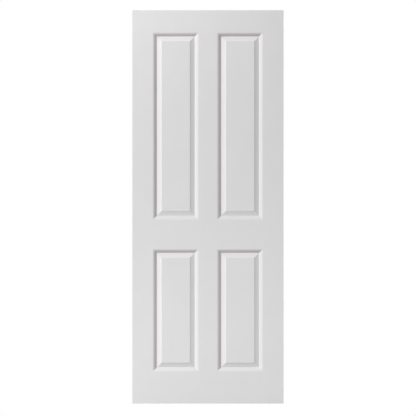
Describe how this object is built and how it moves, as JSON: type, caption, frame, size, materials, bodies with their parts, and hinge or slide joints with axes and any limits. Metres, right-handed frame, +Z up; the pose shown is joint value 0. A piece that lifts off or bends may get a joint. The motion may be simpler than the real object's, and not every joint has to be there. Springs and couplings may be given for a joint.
{
  "type": "fire door",
  "caption": "Fire door leaf: moulded white facings with raised panels over a timber frame, solid core, lipped edges and hidden intumescent strips",
  "frame": {"origin": "middle of the leaf's foot", "axes": "+Z up the leaf, +X across its width to the right as seen from the front, front face towards -Y"},
  "size_m": [0.762, 0.044, 1.981],
  "materials": {
    "white_primer": "pressed wood fibre, white primed, eggshell",
    "primed_lipping": "hardwood, white primed on the outside, raw at its ends",
    "hardwood": "planed, raw",
    "softwood": "sawn and planed, raw",
    "particle_board": "sanded wood chips",
    "intumescent": "matt graphite",
    "galvanised_wire": "zinc coated"
  },
  "bodies": {
    "root": {"front_facing": "white_primer", "back_facing": "white_primer", "left_lipping": "primed_lipping", "right_lipping": "primed_lipping", "top_lipping": "hardwood", "left_stile": "softwood", "right_stile": "softwood", "top_rail": "softwood", "bottom_rail": "softwood", "core": "particle_board", "left_fire_strip": "intumescent", "right_fire_strip": "intumescent", "top_fire_strip": "intumescent", "corner_staples": "galvanised_wire"}
  },
  "joints": []
}
